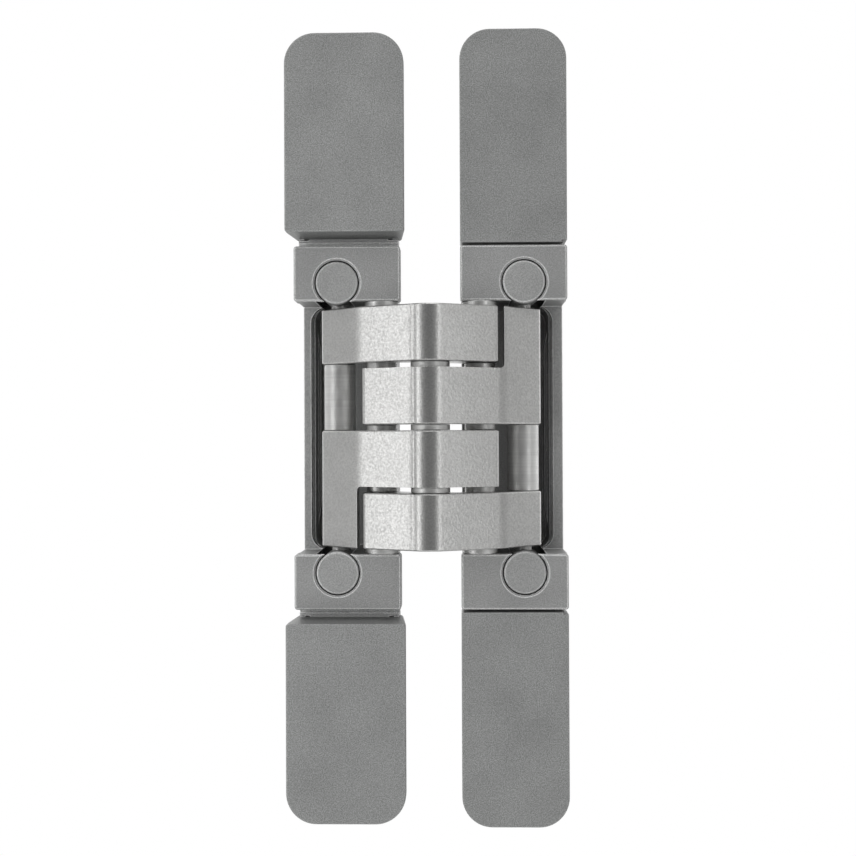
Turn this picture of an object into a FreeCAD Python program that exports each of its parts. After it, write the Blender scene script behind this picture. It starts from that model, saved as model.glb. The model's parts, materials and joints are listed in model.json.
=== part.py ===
import FreeCAD, Part
import math
import os

# Concealed door hinge, standing open at 180 degrees, millimetres, +Z up.
# The origin is the centre of the frame leaf's screw pattern, on the back of its mounting shoes.
# Both leaves look towards -Y, the frame leaf at -X and the door leaf at +X.
# Leaf coordinates are u, from a leaf's outer edge to its inner edge, v, out of its blocks' faces,
# and z. The door leaf is the frame leaf turned half a turn about the centre pin's line of sight.

# Leaf heads and spacing
leaf_width = 32.0
leaf_gap = 18.0
block_height = 16.6
block_rim = 6.0
block_edge = 0.9
block_face_edge = 0.4
fixing_face_depth = 6.0

# Housing body behind the heads
frame_body_inset = 1.0
frame_body_inner_inset = 1.8
door_body_inset = 0.2
door_body_inner_inset = 0.4
body_corner = 5.0
body_back_edge = 1.5
pocket_inset = 4.3
pocket_inner_inset = 4.1
outer_wall_depth = 16.6
inner_wall_depth = 16.0
wall_step = 1.0
wall_step_depth = 2.5
floor_thickness = 2.4
floor_clearance = 0.6
pocket_outer_corner = 4.0
pocket_inner_corner = 2.5
ledge_width = 1.0
ledge_root = 0.5
ledge_height = 6.4
ledge_corner_cut = 9.0

# Linkage: centre pin, fixed pivots and slider pins, measured from the block faces
centre_height = 4.0
pivot_inset = 5.8
pivot_depth = 4.2
slider_offset = 3.05
slider_depth = 9.8

# Pins
centre_pin_radius = 3.0
pivot_pin_radius = 3.0
slider_pin_radius = 2.5
running_clearance = 0.05
end_play = 0.1
pin_chamfer = 0.4
pivot_pin_end_inset = 2.5

# Link arms
link_height = 16.7
link_slit = 1.8
link_end_gap = 1.8
knuckle_wall = 3.0
knuckle_rise = 1.4
knuckle_front_radius = 8.0
knuckle_half_width = 4.0
bend_inset = 6.25
bend_drop = 2.4
pivot_eye_wall = 2.5
slider_eye_wall = 2.8
leg_step = 0.25
bend_radius = 20.0
link_corner = 1.6
link_edge = 0.35
leg_step_corner = 1.2
arch_clearance = 0.55
arch_right_angle = -50.0
arch_left_angle = -155.0
knuckle_waist_angle = 70.0
knuckle_back_angle = 125.0

# Bushes, washers and slugs
pivot_bush_wall = 1.6
pivot_flange_width = 0.6
centre_washer_width = 2.8
slider_sleeve_wall = 2.3
slug_radius = 6.35
slug_length = 16.0
slug_rise = 5.6
slug_chamfer = 0.35
slug_face_inset = 0.1
slug_pin_end_wall = 1.6
mouth_clearance = 0.4
mouth_depth = 0.8
mouth_chamfer = 0.55
guide_clearance = 0.5

# Necks and tabs at the housing's ends, and the mounting shoes they lie in
neck_length = 2.6
neck_inset = 0.8
neck_groove_rise = 1.0
neck_groove_width = 0.7
neck_groove_depth = 0.5
tab_sink = 0.2
tab_thickness = 5.3
tab_corner = 2.0
tab_web = 1.75
tab_end_wall = 1.8
side_play = 1.5
shoe_inset = 1.0
shoe_gap = 0.2
shoe_depth = 11.0
shoe_cheek = 1.5
shoe_end_play = 0.5
shoe_corner = 7.0
seat_clearance = 0.1

# Clamp screw, side adjuster and depth adjuster
clamp_screw_reach = 10.5
clamp_screw_radius = 3.0
clamp_head_rim = 2.5
clamp_head_height = 2.7
clamp_head_edge = 0.8
clamp_socket_width = 4.0
clamp_socket_depth = 1.8
clamp_washer_rim = 1.5
clamp_washer_thickness = 1.2
clamp_washer_clearance = 0.2
clamp_slot_travel = 5.0
clamp_slot_clearance = 0.3
clamp_end_inset = 0.5
eccentric_radius = 4.0
eccentric_pin_radius = 2.0
eccentric_offset = 1.5
eccentric_end_inset = 1.0
eccentric_socket_depth = 3.0
depth_screw_drop = 5.0
depth_screw_wall = 1.15
depth_screw_radius = 2.0
depth_socket_width = 2.0
depth_socket_depth = 2.5

# Fixing screw holes in the shoes, and the cap pegs
fixing_hole_radius = 2.75
fixing_sink = 2.25
fixing_sink_wall = 1.05
fixing_pair_spacing = 15.0
fixing_pair_rise = 10.0
peg_radius = 1.9
peg_shoulder = 1.0
peg_side = 10.0
peg_rise = 1.5
peg_depth = 4.0
peg_end_clearance = 0.5

# Cover caps
frame_cap_overhang = 1.6
frame_cap_base_overhang = 0.2
frame_cap_gap = 0.4
frame_cap_length = 58.5
frame_cap_height = 8.0
frame_cap_land = 3.0
door_cap_gap = 0.8
door_cap_length = 64.0
cap_corner = 9.0
cap_inner_corner = 0.8
cap_edge = 0.5
cap_wall = 1.9
cap_roof = 1.5
shoe_end_inset = 2.2
pry_notch_width = 1.6
pry_notch_height = 0.7

# Places worked out from the sizes above
middle_u = leaf_width / 2
pin_x = leaf_width / 2 + leaf_gap / 2
pin_u = leaf_width + leaf_gap / 2
pocket_u1 = leaf_width - pocket_inner_inset
pivot_u = leaf_width - pivot_inset
slider_u = middle_u - slider_offset
link_top = 2 * link_height + 1.5 * link_slit
block_inner_z = link_top + link_end_gap
block_outer_z = block_inner_z + block_height
slug_z = block_inner_z + slug_rise
neck_end_z = block_outer_z + neck_length

pivot_reach = pin_u - pivot_u
slider_reach = pin_u - slider_u
bend_reach = slider_reach - bend_inset
pivot_fall = centre_height + pivot_depth
slider_fall = centre_height + slider_depth
knuckle_radius = centre_pin_radius + knuckle_wall
knuckle_front = knuckle_radius + knuckle_rise
knuckle_bulge = knuckle_front_radius - math.sqrt(knuckle_front_radius ** 2 - knuckle_half_width ** 2)
knuckle_shoulder = knuckle_front - knuckle_bulge
pivot_eye_radius = pivot_pin_radius + pivot_eye_wall
slider_eye_radius = slider_pin_radius + slider_eye_wall
pivot_bush_radius = pivot_pin_radius + pivot_bush_wall
leg_inner_reach = bend_reach + leg_step

tab_front_depth = fixing_face_depth + tab_sink
tab_back_depth = tab_front_depth + tab_thickness
shoe_floor_depth = tab_back_depth + seat_clearance
shoe_back_depth = fixing_face_depth + shoe_depth
shoe_half_width = leaf_width / 2 - shoe_inset
recess_half_width = shoe_half_width - shoe_cheek
tab_half_width = recess_half_width - side_play
depth_screw_u = middle_u + tab_half_width - depth_screw_wall - depth_screw_radius
clamp_slot_radius = clamp_screw_radius + clamp_slot_clearance
clamp_seat_depth = tab_front_depth - clamp_washer_thickness
clamp_screw_z = neck_end_z + clamp_screw_reach
eccentric_z = clamp_screw_z + clamp_slot_travel / 2 + clamp_slot_radius + tab_web + eccentric_radius
depth_screw_z = eccentric_z - depth_screw_drop
tab_end_z = eccentric_z + eccentric_radius + tab_end_wall
recess_end_z = tab_end_z + clamp_slot_travel / 2 + shoe_end_play
fixing_sink_radius = fixing_hole_radius + fixing_sink
fixing_single_z = recess_end_z + fixing_sink_radius + fixing_sink_wall
fixing_pair_z = fixing_single_z + fixing_pair_rise
peg_z = fixing_single_z + peg_rise
frame_cap_start_z = neck_end_z + frame_cap_gap
frame_cap_end_z = frame_cap_start_z + frame_cap_length
door_cap_start_z = block_outer_z + door_cap_gap
door_cap_end_z = door_cap_start_z + door_cap_length

FRAME = "frame"
DOOR = "door"
UP = FreeCAD.Vector(0, 0, 1)
INTO_LEAF = FreeCAD.Vector(0, 1, 0)
ORIGIN = FreeCAD.Vector(0, 0, 0)


def leaf_point(u, v, z=0.0):
    """Point of the frame leaf in the model's axes."""
    return FreeCAD.Vector(u - leaf_width / 2, -v - shoe_back_depth, z)


def link_point(x, v, z=0.0):
    """Point given from the centre pin: x towards the door leaf, v out of the faces."""
    return FreeCAD.Vector(pin_x + x, -(v + centre_height) - shoe_back_depth, z)


def turned(shape):
    """The shape turned half a turn about the line of sight through the centre pin."""
    copy = shape.copy()
    copy.rotate(FreeCAD.Vector(pin_x, 0, 0), INTO_LEAF, 180)
    return copy


def placed(shape, leaf):
    """A leaf's piece, built as the frame leaf's, in its own leaf."""
    return turned(shape) if leaf == DOOR else shape


def end_name(leaf, sign):
    """Top or bottom, as the piece lies after placing."""
    world_sign = sign if leaf == FRAME else -sign
    return "top" if world_sign > 0 else "bottom"


def save(shape, node):
    """Write one node's solid."""
    solid = shape.removeSplitter()
    if len(solid.Solids) == 1:
        solid = solid.Solids[0]
    solid.exportStep("parts/" + node + ".step")


def leaf_box(u0, u1, v0, v1, z0, z1):
    """Box between leaf coordinates, v0 the deeper side."""
    corner = leaf_point(u0, v1, min(z0, z1))
    return Part.makeBox(u1 - u0, v1 - v0, abs(z1 - z0), corner)


def upright(u, v, z0, z1, radius):
    """Cylinder along z in the leaf."""
    return Part.makeCylinder(radius, abs(z1 - z0), leaf_point(u, v, min(z0, z1)), UP)


def inward(u, z, v_front, v_deep, radius):
    """Cylinder into the leaf from v_front to v_deep."""
    return Part.makeCylinder(radius, v_front - v_deep, leaf_point(u, v_front, z), INTO_LEAF)


def inward_cone(u, z, v_front, v_deep, radius_front, radius_deep):
    """Cone into the leaf from v_front to v_deep."""
    start = leaf_point(u, v_front, z)
    return Part.makeCone(radius_front, radius_deep, v_front - v_deep, start, INTO_LEAF)


def inward_slot(u0, u1, z0, z1, v_front, v_deep, radius):
    """Slot with round ends from centre u0, z0 to centre u1, z1, cut into the leaf."""
    run = FreeCAD.Vector(u1 - u0, 0, z1 - z0)
    side = run.cross(INTO_LEAF).normalize().multiply(radius)
    first = leaf_point(u0, v_front, z0)
    last = leaf_point(u1, v_front, z1)
    corners = [first + side, last + side, last - side, first - side, first + side]
    web = Part.Face(Part.makePolygon(corners)).extrude(INTO_LEAF * (v_front - v_deep))
    ends = [inward(u0, z0, v_front, v_deep, radius), inward(u1, z1, v_front, v_deep, radius)]
    return web.fuse(ends)


def hex_socket(u, z, v_front, depth, width):
    """Hexagon socket cut into a screw's head."""
    reach = width / math.sqrt(3)
    points = []
    for side in range(7):
        angle = math.radians(60 * side)
        points.append(leaf_point(u + reach * math.cos(angle), v_front, z + reach * math.sin(angle)))
    return Part.Face(Part.makePolygon(points)).extrude(INTO_LEAF * depth)


def edges_along(shape, direction, keep):
    """Straight edges of a shape that run along a direction and pass the test keep(centre)."""
    found = []
    for edge in shape.Edges:
        ends = edge.Vertexes
        if len(ends) != 2:
            continue
        run = ends[1].Point - ends[0].Point
        if run.Length < 1e-6 or abs(abs(run.normalize().dot(direction)) - 1) > 1e-6:
            continue
        if keep(edge.CenterOfMass):
            found.append(edge)
    return found


def edges_at_y(shape, y):
    """Edges that lie in the plane of a given y."""
    return [e for e in shape.Edges if all(abs(p.Point.y - y) < 1e-6 for p in e.Vertexes)
            and abs(e.CenterOfMass.y - y) < 1e-6]


def revolved(u, v, outline):
    """Solid turned about the upright line at u, v from points of radius and z."""
    axis = leaf_point(u, v)
    points = [axis + FreeCAD.Vector(radius, 0, z) for radius, z in outline]
    face = Part.Face(Part.makePolygon(points + [points[0]]))
    return face.revolve(axis, UP, 360)


def pin(u, v, z0, z1, radius):
    """Upright pin with chamfered ends."""
    cut = pin_chamfer
    outline = [(0, z0), (radius - cut, z0), (radius, z0 + cut),
               (radius, z1 - cut), (radius - cut, z1), (0, z1)]
    return revolved(u, v, outline)


def ring(u, v, z0, z1, radius, bore):
    """Upright sleeve or washer."""
    return revolved(u, v, [(bore, z0), (radius, z0), (radius, z1), (bore, z1)])


def slider_place(share, turn):
    """The slider pin's u and v after the leaves close by a turn, in radians."""
    arm = math.hypot(pivot_reach, pivot_fall)
    arm_angle = math.atan2(pivot_fall, pivot_reach) + share * turn
    link = math.hypot(slider_reach, slider_fall)
    link_angle = math.atan2(-slider_fall, -slider_reach) + (1 - share) * turn
    u = pivot_u + arm * math.cos(arm_angle) + link * math.cos(link_angle)
    v = -pivot_depth + arm * math.sin(arm_angle) + link * math.sin(link_angle)
    return u, v


def closing_share():
    """Share of the closing turn at each fixed pivot that brings the slugs back in line."""
    low, high = 0.5, 0.75
    for _ in range(50):
        middle = (low + high) / 2
        if slider_place(middle, math.pi)[0] > slider_u:
            low = middle
        else:
            high = middle
    return (low + high) / 2


def slider_travel():
    """How far the slug drifts sideways and how deep its pin goes while the leaves close."""
    share = closing_share()
    places = [slider_place(share, math.pi * step / 60) for step in range(61)]
    drift = slider_u - min(place[0] for place in places)
    return drift, -min(place[1] for place in places)


slider_drift, slider_closed_depth = slider_travel()
pocket_depth = slider_closed_depth + slug_length - slider_depth + floor_clearance
body_depth = pocket_depth + floor_thickness


def housing_body(body_u0, body_u1):
    """Outer form of the cast housing: two wide heads, the deep body and the end tabs."""
    body = leaf_box(body_u0, body_u1, -body_depth, -block_rim / 2, -block_outer_z, block_outer_z)
    body = body.makeFillet(body_corner, edges_along(body, INTO_LEAF, lambda c: True))
    body = body.makeFillet(body_back_edge, edges_at_y(body, leaf_point(0, -body_depth).y))
    pieces = []
    front = leaf_point(0, 0).y
    for sign in (1, -1):
        head = leaf_box(0, leaf_width, -block_rim, 0, sign * block_inner_z, sign * block_outer_z)
        head = head.makeFillet(block_edge, edges_along(head, INTO_LEAF, lambda c: True))
        head = head.makeChamfer(block_face_edge, edges_at_y(head, front))
        pieces.append(head)
        pieces.append(end_tab(sign))
    return body.fuse(pieces)


def end_tab(sign):
    """Neck and tab that carry one end of the housing in its mounting shoe."""
    neck = leaf_box(neck_inset, leaf_width - neck_inset, -tab_back_depth, -tab_front_depth,
                    sign * (block_outer_z - body_corner), sign * neck_end_z)
    tab = leaf_box(middle_u - tab_half_width, middle_u + tab_half_width, -tab_back_depth, -tab_front_depth,
                   sign * block_outer_z, sign * tab_end_z)
    tab = tab.makeFillet(tab_corner, edges_along(tab, INTO_LEAF, lambda c: abs(c.z) > neck_end_z))
    groove_z = block_outer_z + neck_groove_rise
    groove = leaf_box(-1.0, leaf_width + 1.0, -tab_front_depth - neck_groove_depth, 0.0,
                      sign * groove_z, sign * (groove_z + neck_groove_width))
    return neck.fuse(tab).cut(groove)


def pocket():
    """Pocket that the links fold into, with its outer and inner walls cut back from the face."""
    u0 = pocket_inset
    u1 = pocket_u1
    hollow = leaf_box(u0, u1, -pocket_depth, 1.0, -block_inner_z, block_inner_z)
    middle_x = leaf_point((u0 + u1) / 2, 0).x
    hollow = hollow.makeFillet(pocket_outer_corner, edges_along(hollow, INTO_LEAF, lambda c: c.x < middle_x))
    hollow = hollow.makeFillet(pocket_inner_corner, edges_along(hollow, INTO_LEAF, lambda c: c.x > middle_x))
    outer_gap = leaf_box(-1.0, u0 + pocket_outer_corner + 1.0, -outer_wall_depth, 1.0,
                         -block_inner_z, block_inner_z)
    inner_gap = leaf_box(u1 - pocket_inner_corner - 1.0, leaf_width + 1.0, -inner_wall_depth, 1.0,
                         -block_inner_z, block_inner_z)
    return hollow.fuse([outer_gap, inner_gap, wall_rebate(u0)])


def wall_rebate(u0):
    """Step round the pocket's outer edge, which gives the links' bends room."""
    corner = pocket_outer_corner + wall_step
    rebate = leaf_box(u0 - wall_step, u0 + 2 * corner, -outer_wall_depth - wall_step_depth, 1.0,
                      -block_inner_z, block_inner_z)
    middle_x = leaf_point(u0 + corner, 0).x
    return rebate.makeFillet(corner, edges_along(rebate, INTO_LEAF, lambda c: c.x < middle_x))


def floor_ledge():
    """Low ledge along the foot of the outer wall, with its ends cut at a slant."""
    u0 = pocket_inset - ledge_root
    u1 = pocket_inset + ledge_width
    half = block_inner_z - pocket_outer_corner
    cut = ledge_corner_cut
    outline = [(u0, -half), (u1, -half + cut), (u1, half - cut), (u0, half)]
    root = floor_thickness / 2
    corners = [leaf_point(u, -pocket_depth - root, z) for u, z in outline]
    face = Part.Face(Part.makePolygon(corners + [corners[0]]))
    return face.extrude(INTO_LEAF * -(root + ledge_height))


def slug_guide(sign):
    """Round mouth, chamfered, with the wider guide behind it that the slug sinks into."""
    z = sign * slug_z
    mouth_radius = slug_radius + mouth_clearance
    mouth = inward(slider_u, z, 1.0, -mouth_depth - 0.5, mouth_radius)
    flare = inward_cone(slider_u, z, 0.01, -mouth_chamfer, mouth_radius + mouth_chamfer, mouth_radius)
    guide_radius = slug_radius + guide_clearance
    drift_u = slider_u - slider_drift
    guide = inward_slot(drift_u, slider_u, z, z, -mouth_depth, -pocket_depth, guide_radius)
    return mouth.fuse([flare, guide])


def housing(leaf):
    """Cast housing of one leaf, whose body is set in from the blocks' edges."""
    if leaf == FRAME:
        body = housing_body(frame_body_inset, leaf_width - frame_body_inner_inset)
    else:
        body = housing_body(door_body_inset, leaf_width - door_body_inner_inset)
    solid = body.cut(pocket()).fuse(floor_ledge())
    cuts = []
    front = 1 - tab_front_depth
    deep = -1 - tab_back_depth
    half_travel = clamp_slot_travel / 2
    for sign in (1, -1):
        cuts.append(slug_guide(sign))
        cuts.append(upright(pivot_u, -pivot_depth, sign * (block_inner_z - 1), sign * (block_outer_z + 1),
                            pivot_pin_radius + running_clearance))
        cuts.append(inward_slot(middle_u, middle_u, sign * (clamp_screw_z - half_travel),
                                sign * (clamp_screw_z + half_travel), front, deep, clamp_slot_radius))
        cuts.append(inward_slot(middle_u - eccentric_offset, middle_u + eccentric_offset, sign * eccentric_z,
                                sign * eccentric_z, front, deep, eccentric_radius + running_clearance))
        cuts.append(inward(depth_screw_u, sign * depth_screw_z, front, deep,
                           depth_screw_radius + running_clearance))
    return solid.cut(cuts)


def shoe(sign, cap_end_z):
    """Mounting shoe that is screwed to the frame or the door and holds one tab of the housing."""
    start_z = neck_end_z + shoe_gap
    end_z = cap_end_z - shoe_end_inset
    front = -fixing_face_depth
    solid = leaf_box(middle_u - shoe_half_width, middle_u + shoe_half_width, -shoe_back_depth, front,
                     sign * start_z, sign * end_z)
    middle_z = (start_z + end_z) / 2
    solid = solid.makeFillet(shoe_corner, edges_along(solid, INTO_LEAF, lambda c: abs(c.z) > middle_z))
    recess = leaf_box(middle_u - recess_half_width, middle_u + recess_half_width, -shoe_floor_depth,
                      front + 1, sign * (start_z - 1), sign * recess_end_z)
    deep = -shoe_back_depth - 1
    cuts = [recess]
    cuts.append(inward(middle_u, sign * clamp_screw_z, front, deep, clamp_screw_radius + running_clearance))
    cuts.append(inward(middle_u + eccentric_offset, sign * eccentric_z, front, deep,
                       eccentric_pin_radius + running_clearance))
    holes = [(middle_u, fixing_single_z)]
    for side in (-1, 1):
        holes.append((middle_u + side * fixing_pair_spacing / 2, fixing_pair_z))
        cuts.append(inward(middle_u + side * peg_side, sign * peg_z, front + 1,
                           front - peg_depth - peg_end_clearance, peg_radius + running_clearance))
    for u, z in holes:
        cuts.append(inward(u, sign * z, front + 1, deep, fixing_hole_radius))
        cuts.append(inward_cone(u, sign * z, front + 0.01, front - fixing_sink,
                                fixing_sink_radius, fixing_hole_radius))
    return solid.cut(cuts)


def clamp_screw(sign):
    """Low-head screw that clamps the tab to the shoe."""
    z = sign * clamp_screw_z
    seat = -clamp_seat_depth
    crown = seat + clamp_head_height
    end = clamp_end_inset - shoe_back_depth
    head = inward(middle_u, z, crown, seat, clamp_screw_radius + clamp_head_rim)
    head = head.makeChamfer(clamp_head_edge, edges_at_y(head, leaf_point(0, crown).y))
    shank = inward(middle_u, z, seat, end, clamp_screw_radius)
    shank = shank.makeChamfer(pin_chamfer, edges_at_y(shank, leaf_point(0, end).y))
    return head.fuse(shank).cut(hex_socket(middle_u, z, crown, clamp_socket_depth, clamp_socket_width))


def clamp_washer(sign):
    """Washer under the clamp screw's head, wide enough to bridge the slot."""
    z = sign * clamp_screw_z
    front = -clamp_seat_depth
    radius = clamp_screw_radius + clamp_head_rim + clamp_washer_rim
    disc = inward(middle_u, z, front, -tab_front_depth, radius)
    hole = inward(middle_u, z, front + 1, -tab_front_depth - 1, clamp_screw_radius + clamp_washer_clearance)
    return disc.cut(hole)


def eccentric(sign):
    """Side adjuster: a disc in the tab's cross slot with an offset pin in the shoe."""
    z = sign * eccentric_z
    disc = inward(middle_u, z, -tab_front_depth, -tab_back_depth, eccentric_radius)
    offset_pin = inward(middle_u + eccentric_offset, z, -tab_back_depth,
                        eccentric_end_inset - shoe_back_depth, eccentric_pin_radius)
    socket = hex_socket(middle_u, z, -tab_front_depth, eccentric_socket_depth, clamp_socket_width)
    return disc.fuse(offset_pin).cut(socket)


def depth_screw(sign):
    """Depth adjuster: a grub screw through the tab that bears on the shoe's floor."""
    z = sign * depth_screw_z
    body = inward(depth_screw_u, z, -tab_front_depth, -shoe_floor_depth, depth_screw_radius)
    return body.cut(hex_socket(depth_screw_u, z, -tab_front_depth, depth_socket_depth, depth_socket_width))


def cap_outline(v, width, z0, z1, corner, inner_corner):
    """Outline of a cap's plan at one depth: square towards the block, rounded at the leaf's end."""
    left = middle_u - width / 2
    right = middle_u + width / 2
    r = corner
    q = inner_corner
    k = 1 - math.sqrt(0.5)

    def at(u, z):
        return leaf_point(u, v, z)

    edges = [Part.LineSegment(at(left + q, z0), at(right - q, z0)),
             Part.Arc(at(right - q, z0), at(right - q * k, z0 + q * k), at(right, z0 + q)),
             Part.LineSegment(at(right, z0 + q), at(right, z1 - r)),
             Part.Arc(at(right, z1 - r), at(right - r * k, z1 - r * k), at(right - r, z1)),
             Part.LineSegment(at(right - r, z1), at(left + r, z1)),
             Part.Arc(at(left + r, z1), at(left + r * k, z1 - r * k), at(left, z1 - r)),
             Part.LineSegment(at(left, z1 - r), at(left, z0 + q)),
             Part.Arc(at(left, z0 + q), at(left + q * k, z0 + q * k), at(left + q, z0))]
    return Part.Wire([edge.toShape() for edge in edges])


def cap_pegs(roof_v):
    """Pegs inside a cap that press into the shoe."""
    pegs = []
    for side in (-1, 1):
        u = middle_u + side * peg_side
        root_v = roof_v + cap_roof / 2
        pegs.append(inward(u, peg_z, root_v, -fixing_face_depth - peg_depth, peg_radius))
        pegs.append(inward(u, peg_z, root_v, -fixing_face_depth, peg_radius + peg_shoulder))
    return pegs


def finish_cap(cap, sign):
    """Mirror a cap built at the top to the bottom, where that is its end."""
    if sign < 0:
        return cap.mirror(ORIGIN, UP)
    return cap


def frame_cap(sign):
    """Thick cap of the frame leaf, standing proud of the blocks, its sides tapering to the shoe."""
    z0, z1 = frame_cap_start_z, frame_cap_end_z
    width = leaf_width + 2 * frame_cap_overhang
    base_width = leaf_width + 2 * frame_cap_base_overhang
    taper = frame_cap_overhang - frame_cap_base_overhang
    crown = cap_outline(frame_cap_height, width, z0, z1, cap_corner, cap_inner_corner)
    land_v = frame_cap_height - frame_cap_land
    waist = cap_outline(land_v, width, z0, z1, cap_corner, cap_inner_corner)
    base = cap_outline(-fixing_face_depth, base_width, z0, z1 - taper, cap_corner - taper, cap_inner_corner)
    top = Part.Face(crown).extrude(INTO_LEAF * frame_cap_land)
    top = top.makeFillet(cap_edge, edges_at_y(top, leaf_point(0, frame_cap_height).y))
    skirt = Part.makeLoft([waist, base], True, True)
    wall = cap_wall + taper
    roof_v = frame_cap_height - cap_roof
    hollow = cap_outline(-fixing_face_depth - 1, width - 2 * wall, z0 + cap_wall, z1 - wall,
                         cap_corner - wall, cap_inner_corner)
    hollow = Part.Face(hollow).extrude(INTO_LEAF * -(roof_v + fixing_face_depth + 1))
    cap = top.fuse(skirt).cut(hollow).fuse(cap_pegs(roof_v))
    return finish_cap(cap, sign)


def door_cap(sign):
    """Flat cap of the door leaf, flush with the blocks, with a notch to pry it off by."""
    z0, z1 = door_cap_start_z, door_cap_end_z
    crown = cap_outline(0, leaf_width, z0, z1, cap_corner, cap_inner_corner)
    shell = Part.Face(crown).extrude(INTO_LEAF * fixing_face_depth)
    shell = shell.makeFillet(cap_edge, edges_at_y(shell, leaf_point(0, 0).y))
    wall = cap_wall
    roof_v = -cap_roof
    hollow = cap_outline(-fixing_face_depth - 1, leaf_width - 2 * wall, z0 + wall, z1 - wall,
                         cap_corner - wall, cap_inner_corner)
    hollow = Part.Face(hollow).extrude(INTO_LEAF * -(fixing_face_depth + 1 + roof_v))
    notch = leaf_box(-1, pry_notch_width, -fixing_face_depth - 1, 1, z0 - 1, z0 + pry_notch_height)
    cap = shell.cut([hollow, notch]).fuse(cap_pegs(roof_v))
    return finish_cap(cap, sign)


def slug(sign):
    """Round slug that slides in the housing's guide and holds one end of the slider pin."""
    z = sign * slug_z
    front = -slug_face_inset
    solid = inward(slider_u, z, front, -slug_length, slug_radius)
    ends = edges_at_y(solid, leaf_point(0, front).y) + edges_at_y(solid, leaf_point(0, -slug_length).y)
    solid = solid.makeChamfer(slug_chamfer, ends)
    pin_end = slug_z + slug_radius - slug_pin_end_wall + running_clearance
    hole = upright(slider_u, -slider_depth, sign * (slug_z - slug_radius - 1), sign * pin_end,
                   slider_pin_radius + running_clearance)
    return solid.cut(hole)


def level_span(level):
    """Lowest and highest z of one of the four link levels, counted from the top."""
    high = link_top - (level - 1) * (link_height + link_slit)
    return high - link_height, high


def tangent_corner():
    """Corner of the slider end: where the steep face, tangent to the eye, meets the end face."""
    dx = -slider_reach + bend_reach
    dv = -slider_fall + bend_drop
    distance = math.hypot(dx, dv)
    angle = math.atan2(dv, dx) - math.asin(slider_eye_radius / distance)
    run = (-slider_reach - slider_eye_radius + bend_reach) / math.cos(angle)
    return -slider_reach - slider_eye_radius, -bend_drop + run * math.sin(angle)


def shoulder_v(x):
    """Height of the links' gently falling front face at a distance from the centre pin."""
    slope = (knuckle_shoulder + bend_drop) / (bend_reach - knuckle_half_width)
    return knuckle_shoulder - slope * (abs(x) - knuckle_half_width)


def around(x, v, radius, degrees):
    """Point round a pin whose place is given from the centre pin, at an angle from +X towards +Y."""
    angle = math.radians(degrees)
    return link_point(x, v) + FreeCAD.Vector(radius * math.cos(angle), radius * math.sin(angle), 0)


def touch_angle(x, v, radius, start):
    """Angle at which a line from a point on the left touches the back of a round eye."""
    run = link_point(x, v) - start
    lean = math.atan2(run.y, run.x) + math.asin(radius / run.Length)
    return math.degrees(lean) + 90


def link_outline():
    """Side view of a link: slider end at -x, knuckle at the centre pin, fixed pivot end at +x."""
    line = Part.LineSegment
    arc = Part.Arc
    shoulder_left = link_point(-knuckle_half_width, knuckle_shoulder)
    shoulder_right = link_point(knuckle_half_width, knuckle_shoulder)
    corner_x, corner_v = tangent_corner()
    slider_corner = link_point(corner_x, corner_v)
    bend = link_point(-bend_reach, -bend_drop)
    pivot_end_x = pivot_reach + pivot_eye_radius
    pivot_corner = link_point(pivot_end_x, shoulder_v(pivot_end_x))
    knuckle_right = around(0, 0, knuckle_radius, knuckle_waist_angle)
    knuckle_below = around(0, 0, knuckle_radius, 90)
    knuckle_left = around(0, 0, knuckle_radius, knuckle_back_angle)
    pivot_touch = touch_angle(pivot_reach, -pivot_fall, pivot_eye_radius, knuckle_right)
    pivot_right = around(pivot_reach, -pivot_fall, pivot_eye_radius, 0)
    pivot_below = around(pivot_reach, -pivot_fall, pivot_eye_radius, pivot_touch / 2)
    pivot_left = around(pivot_reach, -pivot_fall, pivot_eye_radius, pivot_touch)
    arch_radius = pivot_bush_radius + arch_clearance
    arch_right = around(-pivot_reach, -pivot_fall, arch_radius, arch_right_angle)
    arch_top = around(-pivot_reach, -pivot_fall, arch_radius, -90)
    arch_left = around(-pivot_reach, -pivot_fall, arch_radius, arch_left_angle)
    slider_right = around(-slider_reach, -slider_fall, slider_eye_radius, 0)
    slider_below = around(-slider_reach, -slider_fall, slider_eye_radius, 90)
    slider_left = around(-slider_reach, -slider_fall, slider_eye_radius, 180)
    edges = [arc(shoulder_left, link_point(0, knuckle_front), shoulder_right),
             line(shoulder_right, pivot_corner),
             line(pivot_corner, pivot_right),
             arc(pivot_right, pivot_below, pivot_left),
             line(pivot_left, knuckle_right),
             arc(knuckle_right, knuckle_below, knuckle_left),
             line(knuckle_left, arch_right),
             arc(arch_right, arch_top, arch_left),
             line(arch_left, slider_right),
             arc(slider_right, slider_below, slider_left),
             line(slider_left, slider_corner),
             line(slider_corner, bend),
             line(bend, shoulder_left)]
    return Part.Wire([edge.toShape() for edge in edges])


def link_blank(z0, z1):
    """Link of one level before its holes, with its bend and end corners rounded."""
    solid = Part.Face(link_outline()).extrude(UP * (z1 - z0))
    solid.translate(FreeCAD.Vector(0, 0, z0))
    corner_x, corner_v = tangent_corner()
    pivot_end_x = pivot_reach + pivot_eye_radius
    rounds = [((-bend_reach, -bend_drop), bend_radius), ((corner_x, corner_v), link_corner),
              ((pivot_end_x, shoulder_v(pivot_end_x)), link_corner)]
    for (x, v), radius in rounds:
        spot = link_point(x, v)

        def near(centre, spot=spot):
            return math.hypot(centre.x - spot.x, centre.y - spot.y) < 1e-4

        solid = solid.makeFillet(radius, edges_along(solid, UP, near))
    return solid


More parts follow.
